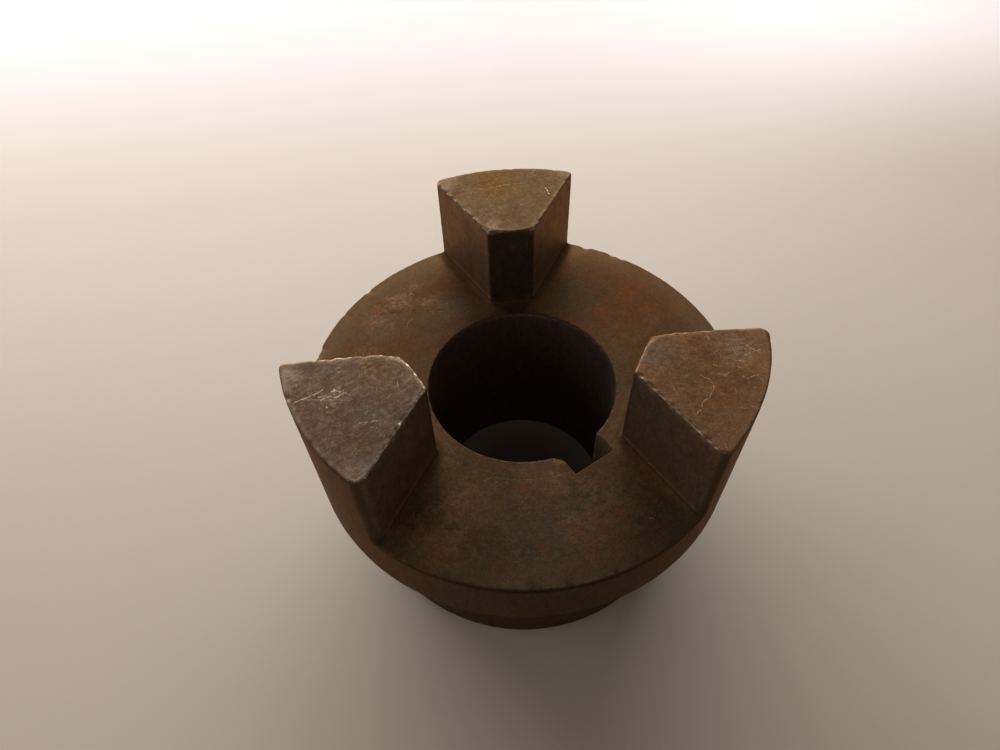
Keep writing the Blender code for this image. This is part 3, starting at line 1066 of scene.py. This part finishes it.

# Each look: the tones that it wanders between, its marks, its painted light and shade, and how
# worn it is. An area, patch or spot has a tone, a place in plan, a size and a strength; some
# areas are painted light. A line has two ends, a width and a tone. The place and the size are
# millimetres, and the strengths run from 0 to 1.
LOOKS = {
    FLANGE: dict(
        name="iron_flange", tones=(OLIVE, BROWN), turning=0.3, wear=0.35, pits=0.5,
        toward_rim=(39, 0.4, (0.120, 0.082, 0.050)), at_root=(1.65, 1.5, 1.35),
        areas=[(RUSSET, (36, 5), 15, 0.9), (RUSSET, (-24, 22), 13, 0.5), (OCHRE, (-33, 28), 8, 0.6),
               (OCHRE, (26, -6), 8, 0.4), (OLIVE, (6, 25), 9, 0.8), (GREY, (-18, -30), 12, 0.35),
               (OCHRE, (-22, -13), 8, 0.3), (GREY, (-1, 27), 6, 0.5), (GREY, (-18, 33), 5, 0.5),
               ((0.038, 0.030, 0.019), (29, 14), 9, 0.8), ((0.110, 0.066, 0.035), (-11, -22), 7, 0.7),
               # Painted light: the pale areas at (-37, -22), (1, -36) and (-27, -18) lighten the flange
               # where the jaws shade it
               ((0.190, 0.115, 0.060), (-37, -22), 7, 0.9), ((0.130, 0.075, 0.040), (-9, -37), 7, 0.6),
               ((0.150, 0.098, 0.055), (1, -36), 9, 0.4),
               ((0.120, 0.076, 0.042), (-27, -18), 8, 0.6)],
        patches=[(TAN, (-10, 38), 6, 0.8), (TAN, (-17, 36), 5, 0.5), (TAN, (-5, 40), 3, 0.7),
                 (TAN, (-24, 28), 5, 0.45), (TAN, (-28.8, -17.5), 6, 0.75),
                 (TAN, (-8.2, -24.8), 4.5, 0.6), (TAN, (-12.5, -34.5), 5, 0.4),
                 (TAN, (-5, -28), 4, 0.4), (TAN, (36, -3), 3, 0.35), (TAN, (-4.5, 33.5), 3.5, 0.7)],
        spots=[(ORANGE, (-15.3, -21.9), 1.1, 0.6), (ORANGE, (-19.9, -34.2), 1.4, 0.5),
               (ORANGE, (-13.9, -32.1), 1.1, 0.5), (ORANGE, (-11.3, -38.4), 1.3, 0.35),
               (ORANGE, (-37.5, -24.8), 3.4, 0.5), (ORANGE, (37, 7.7), 2.4, 0.3),
               (ORANGE, (37.4, 0.2), 2.4, 0.35), (ORANGE, (-15.4, 38.5), 1.6, 0.55),
               (ORANGE, (28, 6), 2.4, 0.3), (ORANGE, (43, -4), 2.6, 0.35),
               (ORANGE, (-3.2, -37.6), 1.7, 0.45),
               (ORANGE, (-13.3, -41.5), 1.5, 0.35), (OCHRE, (-6.3, -40.1), 2.0, 0.5)],
        lines=[((-21.8, 40.6), (-2.3, 29.0), 0.7, DARK), ((-5.5, 30.7), (-2.5, 28.1), 0.3, PALE),
               ((-13.3, 28.9), (-10.9, 30.6), 0.25, PALE), ((-10.4, 30.3), (-10.0, 30.9), 0.35, PALE),
               ((-11.6, 44.3), (-4.4, 46.0), 0.3, TAN), ((0.6, -41.1), (0.9, -41.3), 0.4, BARE),
               ((-30.7, -10.0), (-30.4, -10.2), 0.3, BARE),
               ((-20.8, -16.1), (-19.6, -16.3), 0.25, PALE),
               ((-2.6, -45.6), (-1.4, -46.2), 0.3, PALE), ((-16.8, 19.3), (-16.5, 19.6), 0.3, PALE),
               ((28.6, 8.7), (28.9, 8.4), 0.3, PALE), ((29.7, 1.5), (27.4, 0.3), 0.3, TAN)]),
    TIP_LEFT: dict(
        name="iron_jaw_left", tones=(GREY, (0.090, 0.064, 0.048)), streaks=(2, 0.35), wear=0.9,
        pits=0.4, scratches=0.42, speckle=0.7, pale_edge=0.6, rub=0.14,
        areas=[(OCHRE, (-31, 5), 4, 0.6), (OCHRE, (-41, -9), 3, 0.45), (PALE, (-45, 13), 3.5, 0.6),
               (PALE, (-44, -14), 3, 0.6), ((0.075, 0.066, 0.050), (-36, -6), 6, 0.5)],
        patches=[(BARE, (-40, 3.2), 3.2, 0.2), (PALE, (-44.5, 11), 5, 0.6)],
        lines=[((-46.7, 5.6), (-40.4, 5.5), 0.32, BARE), ((-42.3, 3.4), (-39.8, 3.3), 0.4, BARE),
               ((-40.6, 2.6), (-37.5, 2.6), 0.4, BARE), ((-42.6, 2.2), (-41.6, 1.4), 0.3, BARE),
               ((-38.8, 4.6), (-36.9, 1.4), 0.28, BARE), ((-38.4, -5.0), (-35.5, -6.4), 0.25, BARE),
               ((-37.3, -7.1), (-36.6, -7.8), 0.2, BARE), ((-44.6, -8.0), (-41.0, -8.7), 0.2, PALE),
               ((-41.9, 4.3), (-41.2, 4.1), 0.4, BARE), ((-39.3, 4.4), (-38.5, 4.3), 0.35, BARE),
               ((-38.2, 3.2), (-37.6, 3.4), 0.4, BARE), ((-40.2, 1.5), (-39.4, 1.5), 0.35, BARE)]),
    TIP_RIGHT: dict(
        name="iron_jaw_right", tones=((0.135, 0.074, 0.030), (0.140, 0.074, 0.039)),
        streaks=(-40, 0.25), wear=0.34, pits=0.3, scratches=0.4, speckle=0.4, pale_edge=0.3,
        toward_rim=(40, 0.55, (0.205, 0.120, 0.062)), line_strength=0.55,
        areas=[(GREY, (15, -23), 4.5, 0.9), (ORANGE, (18, -38.5), 3.5, 0.45),
               (OCHRE, (16, -30), 4, 0.6), (RUSSET, (22, -28), 2.5, 0.5), (PALE, (28, -30), 3.5, 0.35),
               ((0.18, 0.095, 0.03), (28, -35), 3.5, 0.7), (RUSSET, (23, -38), 2.2, 0.7)],
        patches=[(PALE, (26, -32), 5.5, 0.6)],
        spots=[(ORANGE, (21.7, -39.0), 1.4, 0.7)],
        lines=[((17.3, -31.8), (17.8, -33.6), 0.22, BARE), ((17.8, -33.6), (17.1, -35.2), 0.22, BARE),
               ((17.1, -35.2), (13.6, -36.5), 0.2, BARE), ((13.6, -36.5), (10.3, -37.6), 0.18, BARE),
               ((20.8, -31.3), (21.4, -32.3), 0.25, BARE), ((19.2, -32.5), (20.5, -33.9), 0.25, BARE),
               ((20.5, -33.9), (23.1, -34.5), 0.22, BARE), ((25.2, -33.3), (25.9, -33.9), 0.25, BARE),
               ((24.0, -33.9), (24.3, -35.1), 0.22, BARE), ((23.3, -36.4), (23.8, -37.3), 0.25, BARE),
               ((23.8, -37.3), (25.7, -37.6), 0.22, BARE), ((25.7, -37.6), (25.5, -38.8), 0.22, BARE),
               ((28.8, -30.4), (29.9, -33.9), 0.18, BARE), ((27.2, -31.2), (30.6, -31.6), 0.18, BARE),
               ((27.0, -33.0), (30.4, -33.4), 0.18, BARE), ((19.1, -41.3), (20.1, -42.9), 0.22, BARE)]),
    TIP_BACK: dict(
        name="iron_jaw_back", tones=((0.082, 0.064, 0.036), (0.074, 0.059, 0.037)),
        streaks=(-24, 0.25), wear=0.4, pits=0.3, scratches=0.25, speckle=0.3, russet=0.35,
        pale_edge=0.4,
        areas=[(OCHRE, (19, 36), 5.5, 0.7), (OCHRE, (21, 41), 5, 0.5), (BROWN, (16, 26), 4, 0.4),
               (PALE, (9.5, 45), 3.0, 0.5), (PALE, (9.5, 24.5), 2.6, 0.5), (PALE, (35, 31), 2.0, 0.3)],
        lines=[((14.8, 38.1), (24.5, 33.8), 0.4, PALE), ((27.7, 29.3), (27.1, 26.9), 0.16, BARE),
               ((18, 30), (22, 27), 0.15, TAN)]),
    # The jaw sides' pale tones are painted light: much lighter than the iron elsewhere, so that the
    # shaded sides read brighter
    JAW_SIDE: dict(name="iron_jaw_sides", tones=((0.262, 0.184, 0.122), (0.245, 0.160, 0.105)),
                   wear=0.35, pits=0.3, russet=0.35, at_root=(1.15, 1.05, 1.0),
                   upright=True, meets_wall=True),
    TURNED: dict(name="iron_turned_wall", tones=((0.112, 0.098, 0.086), (0.118, 0.092, 0.076)),
                 wear=0.35, pits=0.4, russet=0.2, upright=True, dark_brim=0.8),
    BORE: dict(name="iron_bore", tones=((0.20, 0.155, 0.135), (0.21, 0.145, 0.12)), wear=0.5,
               areas=[((0.42, 0.29, 0.20), (5, -23), 4, 0.8)],
               pits=0.25, russet=0.3, upright=True),
    BACK: dict(name="iron_back_face", tones=(OLIVE, BROWN), turning=0.3, wear=0.6, pits=0.5),
    THREAD: dict(name="iron_thread", tones=(DARK, (0.06, 0.04, 0.03)), wear=0.3, pits=0.2),
}
METALLIC = 0.75
ROUGHNESS = 0.42
SPECULAR = 0.08
RING_SPACING = 0.34
MOTTLE_STRETCH = 2.2
SCRATCH_LENGTH, SCRATCH_WIDTH = 3.2, 0.17
SCRATCH_DIRECTIONS = (12, 68, -38, -70)


class Iron(Graph):
    """One of the hub's worn iron finishes, built up layer by layer."""

    def __init__(self, look):
        super().__init__(look["name"])
        self.look = look
        torn = self.noise(2.6, detail=6, rough=0.75, seed=11)
        self.ragged = self.times_plus(torn, 2.6, -1.3)
        self.blotch = self.noise(3.4, detail=6, rough=0.72, seed=2)
        self.grain = self.noise(0.42, detail=3, rough=0.7, seed=4)
        self.flecks = self.noise(0.9, detail=5, rough=0.75, seed=6)
        self.mottle = self.noise(0.8, detail=6, rough=0.85, place=self.look_along(), seed=27)
        self.strokes = self.hair_scratches()
        self.root = self.stored("root_distance")
        broad = self.ramp(self.noise(13, detail=4, seed=1), 0.35, 0.65)
        self.colour = self.mix(broad, *look["tones"])
        pits = self.ramp(self.flecks, 0.66, 0.82, look["pits"])
        self.bright = self.times(pits, self.ramp(self.noise(7, seed=12), 0.42, 0.6))
        self.height = self.times_plus(self.blotch, 0.8, self.times(self.grain, 0.35))

    def paint(self, share, tone):
        """Mixes a tone into the colour."""
        self.colour = self.mix(share, self.colour, tone)

    def tint(self, share, factors):
        """Multiplies the colour's channels by these factors, as far as the share says."""
        self.paint(share, self.mix(1.0, self.colour, factors, "MULTIPLY"))

    def brighten(self, share):
        """Bares the metal wherever this share is more than is bare already."""
        self.bright = self.math("MAXIMUM", self.bright, share)

    def look_along(self):
        """The place, drawn out in the direction that the look's marks run."""
        if "turning" in self.look:
            direction = self.vector("NORMALIZE", self.flat())
            around = self.vector("SCALE", direction, scale=RIM_RADIUS / MOTTLE_STRETCH)
            outward = self.add("ShaderNodeCombineXYZ", {"Z": self.radius()})
            return self.vector("ADD", around, outward.outputs[0])
        if "streaks" in self.look:
            return self.stretched(self.look["streaks"][0], MOTTLE_STRETCH, 1.0)
        return self.vector("DIVIDE", self.place, (1.0, 1.0, MOTTLE_STRETCH))

    def hair_scratches(self):
        """Short hairline scratches, thick in some places and thin in others."""
        crowd = self.ramp(self.noise(6, detail=2, seed=20), 0.42, 0.62, bottom=0.1)
        found = 0.0
        for seed, angle in enumerate(SCRATCH_DIRECTIONS, 21):
            stretched = self.stretched(angle, SCRATCH_LENGTH, SCRATCH_WIDTH)
            field = self.noise(1, detail=2, rough=0.5, place=stretched, seed=seed, warp=0.4)
            found = self.math("MAXIMUM", found, self.ramp(field, 0.66, 0.78))
        return self.times(found, crowd)

    def add_stains_and_painted_light(self):
        """The large areas of each tone, stains and painted light, then the blotches and the mottle over
        them all.
        """
        for tone, spot, size, share in self.look.get("areas", []):
            self.paint(self.times(self.near(spot, size, self.ragged), share), tone)
        self.paint(self.ramp(self.blotch, 0.36, 0.7, self.look.get("russet", 0.5)), RUSSET)
        self.paint(self.ramp(self.blotch, 0.46, 0.3, 0.3), DARK)
        self.tint(self.ramp(self.mottle, 0.46, 0.66, 0.55), (1.6, 1.5, 1.4))
        self.tint(self.ramp(self.mottle, 0.52, 0.36, 0.35), (0.55, 0.5, 0.48))

    def add_marks(self):
        """Scraped patches, then spots and a fine scatter of rust."""
        for tone, spot, size, share in self.look.get("patches", []):
            near = self.near(spot, size, self.ragged)
            shown = self.ramp(self.times_plus(near, 0.22, self.flecks), 0.60, 0.86)
            shown = self.times(self.math("MAXIMUM", shown, self.strokes), share)
            self.paint(self.times(shown, near), tone)
        for tone, spot, size, share in self.look.get("spots", []):
            near = self.times(self.near(spot, size, self.ragged), share)
            self.paint(self.times(near, self.ramp(self.mottle, 0.38, 0.56, bottom=0.25)), tone)
        rusty = self.times(self.ramp(self.noise(1.6, detail=4, seed=8), 0.66, 0.76),
                           self.ramp(self.noise(11, seed=9), 0.5, 0.62))
        self.paint(self.times(rusty, 0.5), ORANGE)

    def add_turning(self, depth):
        """Fine rings left by the lathe, and a groove where the tool cut the jaws' noses."""
        radius = self.radius()
        rings = self.add("ShaderNodeCombineXYZ", {"X": self.math("DIVIDE", radius, RING_SPACING)})
        bent = self.vector("ADD", rings.outputs[0], self.vector("SCALE", self.place, scale=0.02))
        marks = self.noise(1, detail=2.0, place=bent, seed=3)
        cut = self.math("ABSOLUTE", self.math("SUBTRACT", radius, JAW_INNER_RADIUS - 0.1))
        groove = self.ramp(cut, 0.28, 0.05, 0.8)
        rings_cut = self.times(self.math("SUBTRACT", marks, groove), depth)
        self.height = self.math("ADD", self.height, rings_cut)

    def add_streaks(self, angle, strength):
        """Pale streaks along the way that a jaw's tip was ground."""
        stretched = self.stretched(angle, 6.0, 0.42)
        streaks = self.noise(1, detail=4, rough=0.6, place=stretched, seed=14, warp=0.3)
        self.tint(self.ramp(streaks, 0.38, 0.62, strength), (1.55, 1.5, 1.42))
        self.height = self.times_plus(streaks, 0.35, self.height)

    def add_drag(self):
        """Dark runs down an upright wall."""
        upright = self.vector("DIVIDE", self.place, (2.0, 2.0, 7.0))
        drag = self.noise(1, detail=4, rough=0.65, place=upright, seed=15)
        self.tint(self.ramp(drag, 0.35, 0.7, 0.35), (0.62, 0.56, 0.5))

    def add_scratches(self):
        """Speckle, hairlines, and the single scratches that the hub as found has."""
        look = self.look
        if "speckle" in look:
            self.paint(self.ramp(self.flecks, 0.48, 0.72, look["speckle"]), PALE)
        if "scratches" in look:
            self.bright = self.times_plus(self.strokes, look["scratches"], self.bright)
        broken = self.ramp(self.noise(0.8, detail=3, rough=0.7, seed=17), 0.40, 0.60)
        wavering = self.wavering(0.9)
        for start, end, width, tone in look.get("lines", []):
            line = self.times(self.line(wavering, start, end, width * 0.5), broken)
            line = self.times(line, look.get("line_strength", 0.85))
            if tone is BARE:
                self.brighten(line)
            else:
                self.paint(self.times(line, 0.7), tone)

    def wear_edges(self):
        """Bare metal on the edges themselves, and a paler band beside them."""
        edge = self.stored("edge_distance")
        torn = self.noise(1.2, detail=5, rough=0.75, seed=18)
        uneven = self.times_plus(torn, 2.0, -0.98)
        rub = self.look.get("rub", 0.0)
        apart = self.math("SUBTRACT", edge, uneven)
        self.brighten(self.ramp(apart, 0.14 + rub, rub - 0.12, self.look["wear"]))
        if "pale_edge" in self.look:
            band = self.times_plus(uneven, -1.5, edge)
            self.paint(self.ramp(band, 1.3, 0.0, self.look["pale_edge"]), PALE)

    def shade_corners(self):
        """Painted light and shade that follow the hub's shape: painted light at the jaws' roots,
        painted shade on the jaws' noses and below the turned wall's top edge, the sides' painted light
        fading at the rim, and a paler tone toward the rim.
        """
        look = self.look
        if "at_root" in look:
            # Painted light: the colour is brightened near the jaws' roots, against the shade there
            self.tint(self.ramp(self.root, 6.0, 0.3), look["at_root"])
        if look.get("meets_wall"):
            # Painted shade: the jaws' flat inner faces are darkened, as they stand in shade
            self.paint(self.times(self.stored("on_nose"), 0.5), DARK)
            # The sides' painted light fades to the outer wall's tone near the rim, so the outer corners
            # stay dark
            at_wall = self.ramp(self.radius(), RIM_RADIUS - 1.7, RIM_RADIUS - 0.5)
            self.paint(self.times(at_wall, self.stored("height_share")), OUTER_WALL)
        if "dark_brim" in look:
            # Painted shade: a dark band just below the turned wall's top edge
            self.paint(self.ramp(self.stored("below_edge"), 1.7, 0.6, look["dark_brim"]), DARK)
        if "toward_rim" in look:
            start, share, tone = look["toward_rim"]
            self.paint(self.ramp(self.radius(), start, RIM_RADIUS, share), tone)
        self.paint(self.ramp(self.grain, 0.3, 0.7, 0.0, 0.35), DARK)
        self.paint(self.bright, BARE)

    def finished(self):
        rough = self.times_plus(self.blotch, 0.25, ROUGHNESS - 0.12)
        rough = self.times_plus(self.grain, 0.15, rough)
        rough = self.math("SUBTRACT", rough, self.times(self.bright, 0.12))
        rough = self.math("ADD", rough, self.ramp(self.root, 2.5, 0.6, 0.3))
        metallic = self.times_plus(self.bright, 0.4, METALLIC)
        height = self.math("SUBTRACT", self.height, self.times(self.bright, 0.25))
        self.shader.inputs["Specular IOR Level"].default_value = SPECULAR
        self.shader.inputs["Specular Tint"].default_value = SHEEN_TINT
        return self.connected(self.colour, rough, metallic, height, 0.05, 0.8)


def worn_iron(look):
    iron = Iron(look)
    iron.add_stains_and_painted_light()
    iron.add_marks()
    if "turning" in look:
        iron.add_turning(look["turning"])
    if "streaks" in look:
        iron.add_streaks(*look["streaks"])
    if look.get("upright"):
        iron.add_drag()
    iron.add_scratches()
    iron.wear_edges()
    iron.shade_corners()
    return iron.finished()


def black_oxide():
    """Oiled black oxide on the set screw, rubbed through at its edges and crests."""
    graph = Graph("black_oxide")
    blotch = graph.noise(1.8, detail=5, rough=0.7, seed=31)
    grain = graph.noise(0.25, detail=3, seed=32)
    colour = graph.mix(graph.ramp(blotch, 0.35, 0.7), (0.022, 0.021, 0.021), (0.045, 0.034, 0.026))
    uneven = graph.times_plus(graph.noise(0.6, detail=4, seed=33), 0.9, -0.3)
    apart = graph.math("SUBTRACT", graph.stored("edge_distance"), uneven)
    colour = graph.mix(graph.ramp(apart, 0.28, 0.02, 0.6), colour, (0.36, 0.33, 0.30))
    rough = graph.times_plus(blotch, 0.3, 0.2)
    height = graph.times_plus(grain, 0.4, blotch)
    return graph.connected(colour, rough, 0.8, height, 0.02, 0.7)


# ---------------------------------------------------------------- camera, light, floor

CAMERA_TARGET = Vector((-0.96, 7.32, 40.0))
CAMERA_DISTANCE = 161.9
CAMERA_AZIMUTH = math.radians(-122.89)
CAMERA_ELEVATION = math.radians(51.37)
CAMERA_ROLL = math.radians(-2.1)
CAMERA_LENS = 25.2
SENSOR = 36.0
FORWARD = Vector((-math.cos(CAMERA_AZIMUTH), -math.sin(CAMERA_AZIMUTH), 0))
LEFTWARD = Vector((-FORWARD.y, FORWARD.x, 0))


# The room's light from the level of the floor and from above
ROOM_LOW = 0.33
ROOM_HIGH = 0.125


def add_camera():
    data = bpy.data.cameras.new("camera")
    data.lens = CAMERA_LENS
    data.sensor_width = SENSOR
    data.clip_start = 0.005
    camera = placed("camera", data)
    back = Vector((math.cos(CAMERA_ELEVATION) * math.cos(CAMERA_AZIMUTH),
                   math.cos(CAMERA_ELEVATION) * math.sin(CAMERA_AZIMUTH),
                   math.sin(CAMERA_ELEVATION)))
    camera.location = (CAMERA_TARGET + back * CAMERA_DISTANCE) * MM
    camera.rotation_mode = "QUATERNION"
    level = (-back).to_track_quat("-Z", "Y")
    camera.rotation_quaternion = level @ Quaternion((0, 0, 1), CAMERA_ROLL)
    bpy.context.scene.camera = camera


def add_panel(name, forward, left, up, width, height, power, colour):
    """A soft light panel facing the hub, placed in metres as the camera sees it."""
    data = bpy.data.lights.new(name, "AREA")
    data.shape = "RECTANGLE"
    data.size, data.size_y = width, height
    data.energy = power
    data.color = colour
    light = placed(name, data)
    light.location = FORWARD * forward + LEFTWARD * left + Vector((0, 0, up))
    aim = light.location - Vector((0, 0, CAMERA_TARGET.z * MM))
    light.rotation_euler = aim.to_track_quat("Z", "Y").to_euler()


def add_lights():
    """A bright wall behind the hub, a weak fill on its left, and the room's own light."""
    warm = (1.0, 0.93, 0.865)
    add_panel("back_wall", forward=0.78, left=0.14, up=0.39, width=1.5, height=0.70,
              power=15.5, colour=warm)
    add_panel("left_fill", forward=-0.05, left=0.7, up=0.35, width=0.5, height=0.5,
              power=0.8, colour=warm)
    world = bpy.data.worlds.new("room")
    world.use_nodes = True
    nodes, links = world.node_tree.nodes, world.node_tree.links
    direction = nodes.new("ShaderNodeTexCoord")
    parts = nodes.new("ShaderNodeSeparateXYZ")
    links.new(direction.outputs["Generated"], parts.inputs[0])
    fade = nodes.new("ShaderNodeMapRange")
    links.new(parts.outputs["Z"], fade.inputs["Value"])
    for name, value in {"From Max": 0.9, "To Min": ROOM_LOW, "To Max": ROOM_HIGH}.items():
        fade.inputs[name].default_value = value
    background = nodes["Background"]
    background.inputs["Color"].default_value = (1.0, 0.88, 0.76, 1)
    links.new(fade.outputs["Result"], background.inputs["Strength"])
    bpy.context.scene.world = world


def floor_material():
    graph = Graph("floor")
    mottled = graph.noise(60, detail=4, seed=41)
    away = graph.vector("DOT_PRODUCT", graph.place, FORWARD)
    # Painted shade: the floor is darker on the camera's side of the hub, deepening its shadow there
    near_side_painted_shade = graph.mix(graph.ramp(away, -140, 60), (0.50, 0.44, 0.38), (0.61, 0.55, 0.49))
    colour = graph.mix(graph.ramp(mottled, 0.3, 0.7, 0.1), near_side_painted_shade, (0.7, 0.64, 0.56))
    # Painted shade: a dark disc on the floor under the hub, seen through the bore
    colour = graph.mix(graph.near((0, 0), 30, 0.0), colour, (0.12, 0.10, 0.085))
    # The far floor is a paler sheet; it grows paler to the right as painted light, evening out the back
    # panel's light on it
    aside = graph.vector("DOT_PRODUCT", graph.place, -LEFTWARD)
    far_sheet_and_painted_light = graph.mix(graph.ramp(aside, 0, 240), (0.67, 0.645, 0.69), (0.93, 0.91, 0.95))
    colour = graph.mix(graph.ramp(away, 120, 260), colour, far_sheet_and_painted_light)
    graph.feed(graph.shader.inputs["Base Color"], colour)
    graph.shader.inputs["Roughness"].default_value = 0.55
    return graph.material


FLOOR_REACH = 3.0


def add_floor():
    mesh = bpy.data.meshes.new("floor")
    corners = [(x * FLOOR_REACH, y * FLOOR_REACH, 0) for x, y in ((-1, -1), (1, -1), (1, 1), (-1, 1))]
    mesh.from_pydata(corners, [], [(0, 1, 2, 3)])
    mesh.materials.append(floor_material())
    placed("floor", mesh)


def main():
    hub = build_hub()
    for slot in sorted(LOOKS):
        hub.data.materials.append(worn_iron(LOOKS[slot]))
    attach(hub, "hub")
    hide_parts("jaw_hub")

    screw = build_screw()
    screw.data.materials.append(black_oxide())
    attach(screw, "screw")
    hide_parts("set_screw")

    add_floor()
    add_camera()
    add_lights()
    bpy.context.scene.view_settings.view_transform = "Standard"


main()
